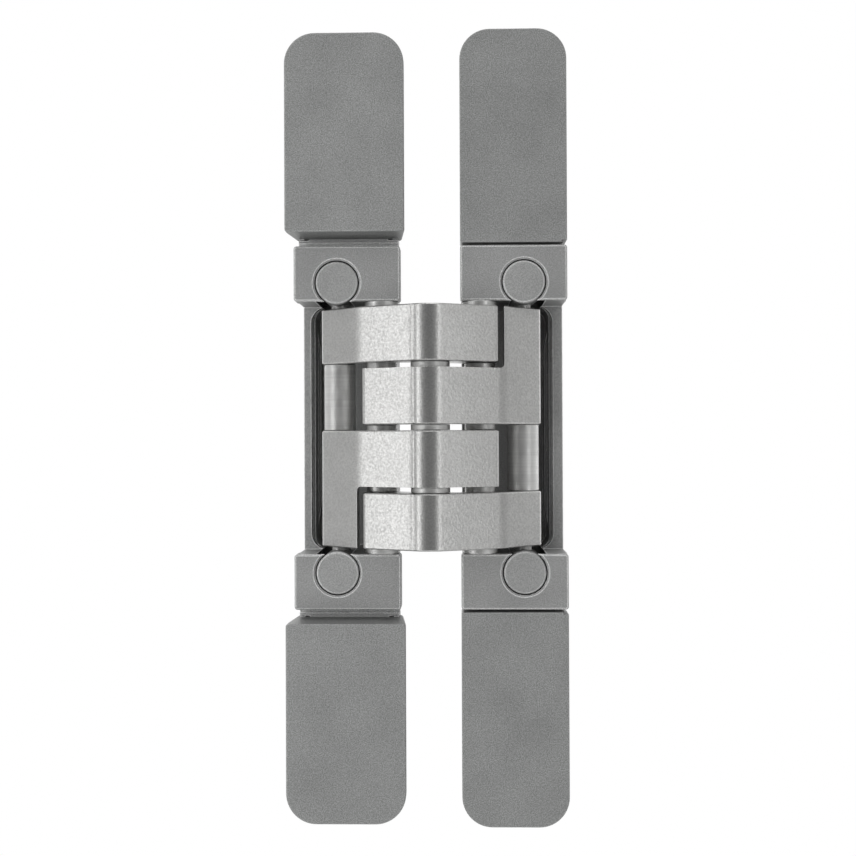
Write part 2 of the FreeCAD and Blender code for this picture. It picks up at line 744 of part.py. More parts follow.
def link_holes():
    """Bores of a link for the slider pin, the centre pin and the fixed pivot pin."""
    bores = []
    for x, v, radius in ((-slider_reach, -slider_fall, slider_pin_radius), (0, 0, centre_pin_radius),
                         (pivot_reach, -pivot_fall, pivot_pin_radius)):
        start = link_point(x, v, -link_top - 1)
        bores.append(Part.makeCylinder(radius + running_clearance, 2 * link_top + 2, start, UP))
    return bores


def softened(solid):
    """Small chamfer along the upper and lower rims of a link."""
    low, high = solid.BoundBox.ZMin, solid.BoundBox.ZMax
    rims = []
    for edge in solid.Edges:
        heights = [point.Point.z for point in edge.Vertexes]
        if max(heights) < low + 1e-6 or min(heights) > high - 1e-6:
            rims.append(edge)
    return solid.makeChamfer(link_edge, rims)


def plain_link(level):
    """Link that fills one level only."""
    z0, z1 = level_span(level)
    return softened(link_blank(z0, z1)).cut(link_holes())


def leg_link():
    """Link of the third level, whose slider end runs on down through the fourth level."""
    z0, z1 = level_span(3)
    leg_low, _ = level_span(4)
    whole = softened(link_blank(leg_low, z1))
    keep_leg_x = link_point(-leg_inner_reach, 0).x
    reach = 2 * (pivot_reach + slider_reach)
    corner = FreeCAD.Vector(keep_leg_x, link_point(0, 0).y - reach / 2, leg_low - 1)
    cutter = Part.makeBox(reach, reach, z0 - leg_low + 1, corner)

    def inner_top(centre):
        return abs(centre.x - keep_leg_x) < 1e-6 and abs(centre.z - z0) < 1e-6

    cutter = cutter.makeFillet(leg_step_corner, edges_along(cutter, INTO_LEAF, inner_top))
    return whole.cut(cutter).cut(link_holes())


def centre_pin():
    """Pin through the four knuckles."""
    return pin(pin_u, centre_height, -link_top, link_top, centre_pin_radius)


def centre_washer(slit):
    """Washer in one of the three slits between the links."""
    low, _ = level_span(slit)
    return ring(pin_u, centre_height, low - link_slit + end_play, low - end_play,
                centre_pin_radius + centre_washer_width, centre_pin_radius + running_clearance)


def pivot_pin():
    """Fixed pivot pin of one leaf, held in both blocks."""
    end = block_outer_z - pivot_pin_end_inset
    return pin(pivot_u, -pivot_depth, -end, end, pivot_pin_radius)


def pivot_long_bush():
    """Flanged bush on the pivot pin from the upper block to the second level's link."""
    low = level_span(2)[1] + end_play
    flange_low = link_top + end_play
    bore = pivot_pin_radius + running_clearance
    flange = pivot_bush_radius + pivot_flange_width
    outline = [(bore, low), (pivot_bush_radius, low), (pivot_bush_radius, flange_low),
               (flange, flange_low), (flange, block_inner_z), (bore, block_inner_z)]
    return revolved(pivot_u, -pivot_depth, outline)


def pivot_middle_bush():
    """Bush on the pivot pin between the links of the second and fourth levels."""
    low = level_span(4)[1] + end_play
    high = level_span(2)[0] - end_play
    return ring(pivot_u, -pivot_depth, low, high, pivot_bush_radius, pivot_pin_radius + running_clearance)


def pivot_end_washer():
    """Washer on the pivot pin between the fourth level's link and the lower block."""
    return ring(pivot_u, -pivot_depth, -block_inner_z, -link_top - end_play,
                pivot_bush_radius + pivot_flange_width, pivot_pin_radius + running_clearance)


def slider_pin():
    """Pin that joins the slider end of a link to both slugs."""
    end = slug_z + slug_radius - slug_pin_end_wall
    return pin(slider_u, -slider_depth, -end, end, slider_pin_radius)


def slider_sleeve():
    """Sleeve on the slider pin across the second level, between the two links of one arm."""
    low = level_span(3)[1] + end_play
    high = level_span(1)[0] - end_play
    return ring(slider_u, -slider_depth, low, high, slider_pin_radius + slider_sleeve_wall,
                slider_pin_radius + running_clearance)


def build_leaf(leaf):
    """Write every piece of one leaf and of its slider."""
    cap = frame_cap if leaf == FRAME else door_cap
    cap_end_z = frame_cap_end_z if leaf == FRAME else door_cap_end_z
    save(placed(housing(leaf), leaf), leaf + "_housing")
    whole = {"pivot_pin": pivot_pin, "pivot_long_bush": pivot_long_bush,
             "pivot_middle_bush": pivot_middle_bush, "pivot_end_washer": pivot_end_washer,
             "slider_pin": slider_pin, "slider_sleeve": slider_sleeve}
    for name, build in whole.items():
        save(placed(build(), leaf), leaf + "_" + name)
    at_ends = {"cap": cap, "clamp_screw": clamp_screw, "clamp_washer": clamp_washer, "eccentric": eccentric,
               "depth_screw": depth_screw, "slug": slug}
    for sign in (1, -1):
        place_name = end_name(leaf, sign)
        for name, build in at_ends.items():
            save(placed(build(sign), leaf), leaf + "_" + name + "_" + place_name)
        save(placed(shoe(sign, cap_end_z), leaf), leaf + "_shoe_" + place_name)


def build_links():
    """Write the four links, the centre pin and its washers."""
    upper = plain_link(1)
    lower = leg_link()
    save(upper, "link_a_upper")
    save(lower, "link_a_lower")
    save(turned(upper), "link_b_lower")
    save(turned(lower), "link_b_upper")
    save(centre_pin(), "centre_pin")
    for slit in (1, 2, 3):
        save(centre_washer(slit), "centre_washer_" + str(slit))


os.makedirs("parts", exist_ok=True)
for leaf_name in (FRAME, DOOR):
    build_leaf(leaf_name)
build_links()
print("closing share", round(closing_share(), 4), "drift", round(slider_drift, 2),
      "closed depth", round(slider_closed_depth, 2), "pocket depth", round(pocket_depth, 2))
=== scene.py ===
import json
import logging
import math
from dataclasses import dataclass, field
from enum import Enum

import bmesh
import bpy
from mathutils import Matrix, Vector

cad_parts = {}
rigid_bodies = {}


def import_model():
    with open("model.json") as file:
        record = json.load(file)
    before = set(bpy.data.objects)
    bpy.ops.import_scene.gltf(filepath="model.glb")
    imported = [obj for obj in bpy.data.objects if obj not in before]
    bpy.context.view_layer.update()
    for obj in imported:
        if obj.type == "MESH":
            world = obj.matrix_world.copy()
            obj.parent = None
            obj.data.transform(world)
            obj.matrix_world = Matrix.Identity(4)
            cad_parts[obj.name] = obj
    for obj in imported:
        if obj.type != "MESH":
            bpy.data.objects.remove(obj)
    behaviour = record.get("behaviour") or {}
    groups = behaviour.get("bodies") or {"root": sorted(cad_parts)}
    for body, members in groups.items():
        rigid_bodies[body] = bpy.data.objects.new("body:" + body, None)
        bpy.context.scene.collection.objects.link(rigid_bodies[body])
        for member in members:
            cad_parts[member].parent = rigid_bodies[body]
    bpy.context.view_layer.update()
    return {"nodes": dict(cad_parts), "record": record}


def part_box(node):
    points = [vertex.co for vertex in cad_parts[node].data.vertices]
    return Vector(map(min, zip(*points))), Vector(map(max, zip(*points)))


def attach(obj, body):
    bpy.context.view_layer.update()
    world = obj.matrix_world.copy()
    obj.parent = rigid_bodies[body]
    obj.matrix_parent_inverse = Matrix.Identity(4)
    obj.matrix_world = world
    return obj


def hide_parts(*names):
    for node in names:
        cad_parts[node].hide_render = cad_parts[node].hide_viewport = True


# Concealed door hinge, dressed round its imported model. Sizes are millimetres until a mesh is finished.

LOG = logging.getLogger("door_hinge")
MM = 0.001
MERGE_DISTANCE = 0.001
LINE_DISTANCE = 0.01
FLAT_ANGLE = math.radians(0.3)
SMOOTH_ANGLE = math.radians(28)
RIM_ANGLE = math.radians(60)
EDGE_STEPS = 2
RIM_STEPS = 3
SPIN_STEPS = 64
PEG_SIDES = 24
FLOOR_SIDES = 96
SENSOR_WIDTH = 36.0

Triple = tuple[float, float, float]
Corners = list[tuple[float, float]]


class Leaf(Enum):
    """The hinge's two leaves."""

    FRAME = "frame"
    DOOR = "door"


class End(Enum):
    """The two ends of a leaf, with the sign of z there."""

    TOP = 1
    BOTTOM = -1

    @property
    def label(self) -> str:
        """Name of the end in a node's name."""
        return self.name.lower()


class Finish(Enum):
    """Finishes of the hinge, each with its name and the record's material slot."""

    HOUSING = ("housing_satin", "cast")
    SLUG = ("slug_satin", "cast")
    COVER = ("cover_satin", "cover")
    ARM = ("arm_blasted", "arm")
    POLISHED = ("polished_steel", "polished")
    STEEL = ("turned_steel", "steel")

    @property
    def title(self) -> str:
        """Name of the finish's material."""
        return self.value[0]

    @property
    def slot(self) -> str:
        """Slot of the record that the finish belongs to."""
        return self.value[1]


class ShaderBench:
    """Node tree of one material while a finish puts it together.

    Attributes:
        NOISE_RANGE: Values between which most of a noise lies.
        EDGE_SAMPLES: Rays that look for an edge.
        FLAT_DOT: Dot product of true and rounded normal down to which a face counts as flat.
        FULL_EDGE_DOT: Dot product from which an edge counts as fully in the edge mask.
    """

    NOISE_RANGE = (0.3, 0.7)
    EDGE_SAMPLES = 4
    FLAT_DOT = 0.992
    FULL_EDGE_DOT = 0.93

    def __init__(self, name: str) -> None:
        """Start a material with one principled shader.

        Args:
            name: Name of the material.
        """
        self.material = bpy.data.materials.new(name)
        self.material.use_nodes = True
        self.nodes = self.material.node_tree.nodes
        self.links = self.material.node_tree.links
        self.nodes.clear()
        output = self.nodes.new("ShaderNodeOutputMaterial")
        self.shader = self.nodes.new("ShaderNodeBsdfPrincipled")
        self.links.new(self.shader.outputs["BSDF"], output.inputs["Surface"])
        self.place = self.nodes.new("ShaderNodeTexCoord").outputs["Object"]

    def noise(self, grain: float, detail: float = 2.0, stretch: Triple = (1.0, 1.0, 1.0)) -> bpy.types.NodeSocket:
        """Noise on the object's own coordinates.

        Args:
            grain: Size of one grain in millimetres.
            detail: Octaves of finer noise.
            stretch: Share of the scale along each axis.

        Returns:
            The noise value, about one half on average.
        """
        mapping = self.nodes.new("ShaderNodeMapping")
        mapping.inputs["Scale"].default_value = stretch
        self.links.new(self.place, mapping.inputs["Vector"])
        texture = self.nodes.new("ShaderNodeTexNoise")
        texture.inputs["Scale"].default_value = 1.0 / (grain * MM)
        texture.inputs["Detail"].default_value = detail
        self.links.new(mapping.outputs["Vector"], texture.inputs["Vector"])
        return texture.outputs["Fac"]

    def spread(self, source: bpy.types.NodeSocket, start: float, end: float,
               source_range: tuple[float, float] = NOISE_RANGE) -> bpy.types.NodeSocket:
        """Values of a source within its range, spread from start to end.

        Args:
            source: Value to map.
            start: Result at the low end of the range.
            end: Result at the high end.
            source_range: Low and high end, the usual range of noise unless given.

        Returns:
            The mapped value.
        """
        low, high = source_range
        node = self.nodes.new("ShaderNodeMapRange")
        for name, value in (("From Min", low), ("From Max", high), ("To Min", start), ("To Max", end)):
            node.inputs[name].default_value = value
        self.links.new(source, node.inputs["Value"])
        return node.outputs["Result"]

    def blend(self, mask: bpy.types.NodeSocket, off: float, on: float) -> bpy.types.NodeSocket:
        """Value that goes from off, where a mask is 0, to on, where it is 1."""
        return self.spread(mask, off, on, (0.0, 1.0))

    def product(self, *sources: bpy.types.NodeSocket) -> bpy.types.NodeSocket:
        """Product of several values.

        Args:
            sources: Values to multiply.

        Returns:
            Their product.
        """
        result = sources[0]
        for source in sources[1:]:
            node = self.nodes.new("ShaderNodeMath")
            node.operation = "MULTIPLY"
            self.links.new(result, node.inputs[0])
            self.links.new(source, node.inputs[1])
            result = node.outputs["Value"]
        return result

    def rounded_normal(self, radius: float) -> bpy.types.NodeSocket:
        """Surface normal that turns softly over the edges.

        Args:
            radius: Radius of the softened edges in millimetres.

        Returns:
            The normal.
        """
        node = self.nodes.new("ShaderNodeBevel")
        node.samples = self.EDGE_SAMPLES
        node.inputs["Radius"].default_value = radius * MM
        return node.outputs["Normal"]

    def edge_light_mask(self, radius: float) -> bpy.types.NodeSocket:
        """Mask that is 1 along outer and inner edges and 0 on flat faces, for painting edge highlights.

        Args:
            radius: Width of the edge band in millimetres.

        Returns:
            The mask.
        """
        rounded = self.rounded_normal(radius)
        geometry = self.nodes.new("ShaderNodeNewGeometry")
        dot = self.nodes.new("ShaderNodeVectorMath")
        dot.operation = "DOT_PRODUCT"
        self.links.new(rounded, dot.inputs[0])
        self.links.new(geometry.outputs["Normal"], dot.inputs[1])
        return self.spread(dot.outputs["Value"], 0.0, 1.0, (self.FLAT_DOT, self.FULL_EDGE_DOT))

    def tint(self, colour: Triple, shade: bpy.types.NodeSocket) -> bpy.types.NodeSocket:
        """Colour multiplied by a shade.

        Args:
            colour: Linear red, green and blue.
            shade: Factor for all three.

        Returns:
            The shaded colour.
        """
        node = self.nodes.new("ShaderNodeVectorMath")
        node.operation = "SCALE"
        node.inputs[0].default_value = colour
        self.links.new(shade, node.inputs["Scale"])
        return node.outputs["Vector"]

    def relief(self, height: bpy.types.NodeSocket, depth: float, edge: float) -> None:
        """Grain in the surface normal, on softly rounded edges.

        Args:
            height: Height pattern.
            depth: Height of the pattern in millimetres.
            edge: Radius of the softened edges in millimetres.
        """
        rounded = self.rounded_normal(edge)
        bump = self.nodes.new("ShaderNodeBump")
        bump.inputs["Strength"].default_value = 1.0
        bump.inputs["Distance"].default_value = depth * MM
        self.links.new(height, bump.inputs["Height"])
        self.links.new(rounded, bump.inputs["Normal"])
        self.links.new(bump.outputs["Normal"], self.shader.inputs["Normal"])

    def fix(self, **values: float) -> None:
        """Set constants on the shader's own sockets.

        Args:
            values: Socket names, with _ for a space, and their values.
        """
        for name, value in values.items():
            self.shader.inputs[name.replace("_", " ")].default_value = value

    def feed(self, name: str, source: bpy.types.NodeSocket) -> None:
        """Join a pattern to a socket of the shader.

        Args:
            name: The shader's socket.
            source: The pattern.
        """
        self.links.new(source, self.shader.inputs[name])


@dataclass(frozen=True)
class SatinCoat:
    """Fine-grained satin coating on zinc castings and on the caps.

    Attributes:
        colour: Linear colour of the coating.
        sheen: Share of metal in the reflection.
        gloss_low: Lowest roughness.
        gloss_high: Highest roughness.
        speck: Grain of the bright and dark specks in millimetres.
        contrast: How far the specks stray from the colour.
        depth: Depth of the specks in millimetres.
        cloud: Size of the faint clouds in millimetres.
        drift: How far the clouds stray from the colour.
        rim_highlight: How much lighter the coating is painted along its edges, a painted highlight.
        rim_metallic: Share of metal in the reflection along that painted highlight.
        rim_highlight_width: Width of the painted edge highlight in millimetres.
        edge: Radius of the softened edges in millimetres.
    """

    colour: Triple
    sheen: float = 0.35
    gloss_low: float = 0.42
    gloss_high: float = 0.56
    speck: float = 0.32
    contrast: float = 0.26
    depth: float = 0.02
    cloud: float = 14.0
    drift: float = 0.05
    rim_highlight: float = 3.1
    rim_metallic: float = 0.35
    rim_highlight_width: float = 0.5
    edge: float = 0.25

    def material(self, title: str) -> bpy.types.Material:
        """Build the coating's node material under a name."""
        bench = ShaderBench(title)
        specks = bench.noise(self.speck, detail=1.5)
        clouds = bench.noise(self.cloud, detail=3.0)
        shade = bench.spread(specks, 1 - self.contrast, 1 + self.contrast)
        drift = bench.spread(clouds, 1 - self.drift, 1 + self.drift)
        # Edges are painted lighter in the base colour: a painted highlight where rounded edges catch the lamps.
        edges = bench.edge_light_mask(self.rim_highlight_width)
        rim_lightening = bench.blend(edges, 1.0, self.rim_highlight)
        bench.feed("Base Color", bench.tint(self.colour, bench.product(shade, drift, rim_lightening)))
        bench.feed("Roughness", bench.spread(clouds, self.gloss_low, self.gloss_high))
        bench.feed("Metallic", bench.blend(edges, self.sheen, self.rim_metallic))
        bench.relief(specks, self.depth, self.edge)
        return bench.material


@dataclass(frozen=True)
class BlastedMetal:
    """Bead-blasted and plated metal of the link arms, bright with a mottled grain.

    Attributes:
        colour: Linear colour of the metal.
        roughness: Middle roughness.
        gloss: How far the dimples stray from that roughness.
        mottle: Size of the blasted dimples in millimetres.
        dimple_range: Noise values over which a dimple goes from dark to bright.
        contrast: How far the dimples stray from the colour.
        depth: Depth of the dimples in millimetres.
        grit: Size of the grit as a share of the dimples' size.
        grit_contrast: Contrast of the grit as a share of the dimples' contrast.
        cloud: Size of the faint clouds in millimetres.
        drift: How far the clouds stray from the colour.
        edge_highlight: How much brighter the edges are painted, a painted highlight.
        edge_highlight_width: Width of that painted highlight in millimetres.
        edge: Radius of the softened edges in millimetres.
    """

    colour: Triple
    roughness: float = 0.34
    gloss: float = 0.05
    mottle: float = 0.62
    dimple_range: tuple[float, float] = (0.32, 0.68)
    contrast: float = 0.12
    depth: float = 0.05
    grit: float = 0.35
    grit_contrast: float = 0.6
    cloud: float = 9.0
    drift: float = 0.03
    edge_highlight: float = 0.45
    edge_highlight_width: float = 0.3
    edge: float = 0.2

    def material(self, title: str) -> bpy.types.Material:
        """Build the blasted metal's node material under a name."""
        bench = ShaderBench(title)
        dimples = bench.noise(self.mottle, detail=2.0)
        grit = bench.noise(self.mottle * self.grit, detail=1.0)
        clouds = bench.noise(self.cloud, detail=2.5)
        stray = self.contrast * self.grit_contrast
        shade = bench.spread(dimples, 1 - self.contrast, 1 + self.contrast, self.dimple_range)
        fine = bench.spread(grit, 1 - stray, 1 + stray)
        drift = bench.spread(clouds, 1 - self.drift, 1 + self.drift)
        # Edges are painted brighter in the base colour: a painted highlight where rounded edges catch the lamps.
        edge_lightening = bench.blend(bench.edge_light_mask(self.edge_highlight_width), 1.0, 1 + self.edge_highlight)
        bench.feed("Base Color", bench.tint(self.colour, bench.product(shade, fine, drift, edge_lightening)))
        bench.feed("Roughness", bench.spread(dimples, self.roughness + self.gloss, self.roughness - self.gloss))
        bench.fix(Metallic=1.0)
        bench.relief(dimples, self.depth, self.edge)
        return bench.material


@dataclass(frozen=True)
class RunningSteel:
    """Steel of the pins, bushes, sleeves, washers and screws, with fine marks round the part.

    Attributes:
        colour: Linear colour of the steel.
        roughness: Middle roughness.
        marks: Spacing of the turning marks in millimetres.
        depth: Depth of the marks in millimetres.
        along: Share of the noise's scale along each axis, low where the marks run.
        contrast: How far the marks stray from the colour.
        smear: Size of the smears in millimetres.
        smear_range: Roughness in the smears as shares of the middle roughness.
        edge_highlight: How much brighter the edges are painted, a painted highlight.
        edge_highlight_width: Width of that painted highlight in millimetres.
        edge: Radius of the softened edges in millimetres.
    """

    colour: Triple
    roughness: float
    marks: float
    depth: float
    along: Triple = (0.02, 0.02, 1.0)
    contrast: float = 0.05
    smear: float = 3.0
    smear_range: tuple[float, float] = (0.8, 1.25)
    edge_highlight: float = 0.15
    edge_highlight_width: float = 0.2
    edge: float = 0.12

    def material(self, title: str) -> bpy.types.Material:
        """Build the steel's node material under a name."""
        bench = ShaderBench(title)
        rings = bench.noise(self.marks, detail=1.0, stretch=self.along)
        smears = bench.noise(self.smear, detail=3.0)
        # Edges are painted brighter in the base colour: a painted highlight where rounded edges catch the lamps.
        edge_lightening = bench.blend(bench.edge_light_mask(self.edge_highlight_width), 1.0, 1 + self.edge_highlight)
        shade = bench.spread(rings, 1 - self.contrast, 1 + self.contrast)
        bench.feed("Base Color", bench.tint(self.colour, bench.product(shade, edge_lightening)))
        glossiest, dullest = (self.roughness * share for share in self.smear_range)
        bench.feed("Roughness", bench.spread(smears, glossiest, dullest))
        bench.fix(Metallic=1.0)
        bench.relief(rings, self.depth, self.edge)
        return bench.material


@dataclass
class FinishRack:
    """Every finish of the hinge as a material.

    Attributes:
        materials: The material of each finish.
    """

    materials: dict[Finish, bpy.types.Material] = field(default_factory=dict)

    def mix(self) -> None:
        """Build each finish's material once."""
        recipes = {
            Finish.HOUSING: SatinCoat((0.282, 0.284, 0.282)),
            # Slug and cover coatings lighten their edges by their own amounts, a painted highlight.
            Finish.SLUG: SatinCoat((0.305, 0.308, 0.305), rim_highlight=2.6),
            Finish.COVER: SatinCoat((0.258, 0.262, 0.259), contrast=0.36, rim_highlight=1.35),
            Finish.ARM: BlastedMetal((0.60, 0.60, 0.59)),
            Finish.POLISHED: RunningSteel((0.72, 0.72, 0.71), roughness=0.48, marks=0.5, depth=0.001),
            Finish.STEEL: RunningSteel((0.50, 0.50, 0.50), roughness=0.30, marks=0.25, depth=0.004),
        }
        for finish, recipe in recipes.items():
            self.materials[finish] = recipe.material(finish.title)
            LOG.info("finish %s for slot %s", finish.title, finish.slot)

    def dress_nodes(self, nodes: dict[str, bpy.types.Object], subparts: list[dict]) -> None:
        """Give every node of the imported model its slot's material, the first where finishes share a slot.

        Args:
            nodes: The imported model's objects by name.
            subparts: The record's rows of node and slot.
        """
        by_slot = {finish.slot: self.materials[finish] for finish in reversed(Finish)}
        for row in subparts:
            node = nodes[row["node"]]
            material = by_slot[row["material_slot"]]
            for place in node.material_slots:
                place.link = "OBJECT"
                place.material = material


@dataclass
class Bench:
    """Workbench that turns a bmesh in millimetres into a finished piece.

    Attributes:
        rack: Finishes that it dresses pieces with.
    """

    rack: FinishRack

    def finish(self, shape: bmesh.types.BMesh, name: str, body: str, finish: Finish,
               node: str) -> bpy.types.Object:
        """Close, scale and dress a shape, shade its flat faces flat and let it ride on its body.

        Args:
            shape: The piece's mesh in millimetres.
            name: Name of the piece.
            body: Body that it moves with.
            finish: Its finish.
            node: Node that it replaces.

        Returns:
            The finished object at the origin.
        """
        bmesh.ops.remove_doubles(shape, verts=shape.verts, dist=MERGE_DISTANCE)
        bmesh.ops.recalc_face_normals(shape, faces=shape.faces)
        bmesh.ops.scale(shape, vec=(MM, MM, MM), verts=shape.verts)
        mesh = bpy.data.meshes.new(name)
        shape.to_mesh(mesh)
        shape.free()
        mesh.shade_smooth()
        mesh.set_sharp_from_angle(angle=SMOOTH_ANGLE)
        mesh.materials.append(self.rack.materials[finish])
        piece = bpy.data.objects.new(name, mesh)
        bpy.context.scene.collection.objects.link(piece)
        piece.modifiers.new("flat_faces", "WEIGHTED_NORMAL").keep_sharp = True
        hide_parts(node)
        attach(piece, body)
        LOG.info("%s: %d faces on %s", name, len(mesh.polygons), body)
        return piece


def node_box(node: str) -> tuple[Vector, Vector]:
    """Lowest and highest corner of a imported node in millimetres.

    Args:
        node: Name of the node.

    Returns:
        The two corners.
    """
    low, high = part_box(node)
    return low / MM, high / MM


@dataclass
class CoverCap:
    """Pressed-on cap over one end of a leaf, hollow, with pegs for its shoe.

    Attributes:
        leaf: Leaf that it covers.
        end: End of the leaf.
        corner: Radius of the two corners at the leaf's end.
        corner_steps: Steps of those rounds.
        inner_corner: Radius of the two corners next to the housing.
        inner_steps: Steps of those rounds.
        rim: Radius of the edge round the face.
        rim_steps: Steps of that round.
        wall: Thickness of the side walls.
        roof: Thickness of the face.
        land: Depth of the upright band below the face, 0 where the sides are straight.
        land_edge: Radius of the land's lower edge.
        taper: How far the sides lean in below the land.
        notch_width: Width of the notch to pry the cap off by, 0 where there is none.
        notch_height: Height of that notch.
        peg_radius: Radius of the pegs.
        peg_shoulder: How far their shoulders stand out.
        peg_side: Distance of the pegs from the leaf's middle.
        peg_z: Height of the pegs.
        seat: Y of the shoe's front face, where the pegs' shoulders rest.
        peg_depth: Length of the pegs inside the shoe.
    """

    leaf: Leaf
    end: End
    corner: float = 9.0
    corner_steps: int = 14
    inner_corner: float = 0.8
    inner_steps: int = 3
    rim: float = 0.5
    rim_steps: int = 5
    wall: float = 1.9
    roof: float = 1.5
    land: float = 0.0
    land_edge: float = 0.25
    taper: float = 0.0
    notch_width: float = 0.0
    notch_height: float = 0.0
    peg_radius: float = 1.9
    peg_shoulder: float = 1.0
    peg_side: float = 10.0
    peg_z: float = 95.5
    seat: float = -11.0
    peg_depth: float = 4.0

    @property
    def node(self) -> str:
        """Node that the cap stands for."""
        return f"{self.leaf.value}_cap_{self.end.label}"

    def plan(self, shape: bmesh.types.BMesh, corners: Corners, y: float,
             radii: list[float]) -> bmesh.types.BMFace:
        """Flat face with rounded corners at one depth.

        Args:
            shape: Mesh that gets the face.
            corners: X and z of the corners in order.
            y: Depth of the face.
            radii: Radius of each corner, 0 for a sharp one.

        Returns:
            The rounded face.
        """
        points = [shape.verts.new((x, y, z)) for x, z in corners]
        face = shape.faces.new(points)
        before = set(shape.faces) - {face}
        for point, radius in zip(points, radii):
            if radius > 0:
                steps = self.corner_steps if radius > self.inner_corner else self.inner_steps
                bmesh.ops.bevel(shape, geom=[point], offset=radius, offset_type="OFFSET", segments=steps,
                                profile=0.5, affect="VERTICES", material=-1)
        return next(iter(set(shape.faces) - before))

    def outline(self, low: Vector, high: Vector, inset: float, outer: float) -> tuple[Corners, list[float]]:
        """Corners and radii of the cap's plan.

        Args:
            low: Lowest corner of the cap's box.
            high: Highest corner of the cap's box.
            inset: Distance inside the box at the sides and at the leaf's end.
            outer: Radius of the corners at the leaf's end.

        Returns:
            The corners' x and z, and their radii.
        """
        sign = self.end.value
        near, far = (low.z, high.z) if sign > 0 else (high.z, low.z)
        left, right = low.x + inset, high.x - inset
        far -= sign * inset
        corners = [(left, far), (right, far), (right, near), (left, near)]
        return corners, [outer, outer, self.inner_corner, self.inner_corner]

    def build(self, bench: Bench) -> bpy.types.Object:
        """Build the cap where its node is.

        Args:
            bench: Workbench that finishes it.

        Returns:
            The cap.
        """
        low, high = node_box(self.node)
        shape = bmesh.new()
        corners, radii = self.outline(low, high, 0.0, self.corner)
        if self.notch_width > 0:
            corners, radii = self.notched(corners, radii)
        crown = self.plan(shape, corners, low.y, radii)
        self.drop_walls(shape, crown, low, high)
        self.hollow(shape, low, high)
        self.round_rims(shape, low.y)
        self.add_pegs(shape, low, high)
        return bench.finish(shape, f"{self.leaf.value}_cover_{self.end.label}", f"{self.leaf.value}_leaf",
                            Finish.COVER, self.node)

    def notched(self, corners: Corners, radii: list[float]) -> tuple[Corners, list[float]]:
        """Cut the small notch into the leaf's outer corner next to the housing.

        Args:
            corners: The plan's corners.
            radii: Their radii.

        Returns:
            The corners and radii with the notch.
        """
        sign = self.end.value
        index = 2 if self.leaf is Leaf.DOOR else 3
        x, z = corners[index]
        inward = -1 if index == 2 else 1
        inner = (x + inward * self.notch_width, z)
        deep = (x + inward * self.notch_width, z + sign * self.notch_height)
        outer = (x, z + sign * self.notch_height)
        steps = [outer, deep, inner] if index == 2 else [inner, deep, outer]
        return corners[:index] + steps + corners[index + 1:], radii[:index] + [0.0] * 3 + radii[index + 1:]

    def drop_walls(self, shape: bmesh.types.BMesh, crown: bmesh.types.BMFace, low: Vector, high: Vector) -> None:
        """Extrude the crown down to the cap's foot, with a land and leaning sides where it has them.

        Args:
            shape: Mesh of the cap.
            crown: Its face.
            low: Lowest corner of the cap's box.
            high: Highest corner of the cap's box.
        """
        depth = high.y - low.y
        drops = [self.land, depth - self.land] if self.land > 0 else [depth]
        face = crown
        for index, drop in enumerate(drops):
            made = bmesh.ops.extrude_face_region(shape, geom=[face], use_keep_orig=True)
            points = [part for part in made["geom"] if isinstance(part, bmesh.types.BMVert)]
            if index:
                bmesh.ops.delete(shape, geom=[face], context="FACES_ONLY")
            bmesh.ops.translate(shape, vec=(0, drop, 0), verts=points)
            face = next(part for part in made["geom"] if isinstance(part, bmesh.types.BMFace))
        if self.taper > 0:
            self.lean_in(shape, face, low, high)
        bmesh.ops.delete(shape, geom=[face], context="FACES_ONLY")

    def lean_in(self, shape: bmesh.types.BMesh, foot: bmesh.types.BMFace, low: Vector, high: Vector) -> None:
        """Draw the foot in at the sides and at the leaf's end, and leave it in line at the housing.

        Args:
            shape: Mesh of the cap.
            foot: Face at the foot.
            low: Lowest corner of the cap's box.
            high: Highest corner of the cap's box.
        """
        width = high.x - low.x
        length = high.z - low.z
        near = low.z if self.end is End.TOP else high.z
        middle = (low.x + high.x) / 2
        anchor = Matrix.Translation((-middle, 0, -near))
        bmesh.ops.scale(shape, vec=((width - 2 * self.taper) / width, 1.0, (length - self.taper) / length),
                        space=anchor, verts=list(foot.verts))

    def hollow(self, shape: bmesh.types.BMesh, low: Vector, high: Vector) -> None:
        """Close the foot with a rim round a cavity that reaches up to the roof.

        Args:
            shape: Mesh of the cap.
            low: Lowest corner of the cap's box.
            high: Highest corner of the cap's box.
        """
        inset = self.wall + self.taper
        outside = [edge for edge in shape.edges if edge.is_boundary]
        corners, radii = self.outline(low, high, inset, self.corner - inset)
        sign = self.end.value
        corners = corners[:2] + [(x, z + sign * self.wall) for x, z in corners[2:]]
        ceiling = self.plan(shape, corners, low.y + self.roof, radii)
        made = bmesh.ops.extrude_face_region(shape, geom=[ceiling], use_keep_orig=True)
        points = [part for part in made["geom"] if isinstance(part, bmesh.types.BMVert)]
        opening = next(part for part in made["geom"] if isinstance(part, bmesh.types.BMFace))
        bmesh.ops.translate(shape, vec=(0, high.y - low.y - self.roof, 0), verts=points)
        inside = list(opening.edges)
        bmesh.ops.delete(shape, geom=[opening], context="FACES_ONLY")
        bmesh.ops.bridge_loops(shape, edges=outside + inside)

    def round_rims(self, shape: bmesh.types.BMesh, front: float) -> None:
        """Round the edge round the face, and the land's lower edge a little.

        Args:
            shape: Mesh of the cap.
            front: Y of the face.
        """
        lines = [(front, self.rim, self.rim_steps)]
        if self.land > 0:
            lines.append((front + self.land, self.land_edge, EDGE_STEPS))
        for y, radius, steps in lines:
            edges = [edge for edge in shape.edges if all(abs(point.co.y - y) < MERGE_DISTANCE
                                                         for point in edge.verts)]
            bmesh.ops.bevel(shape, geom=edges, offset=radius, offset_type="OFFSET", segments=steps,
                            profile=0.5, affect="EDGES", clamp_overlap=True, material=-1)

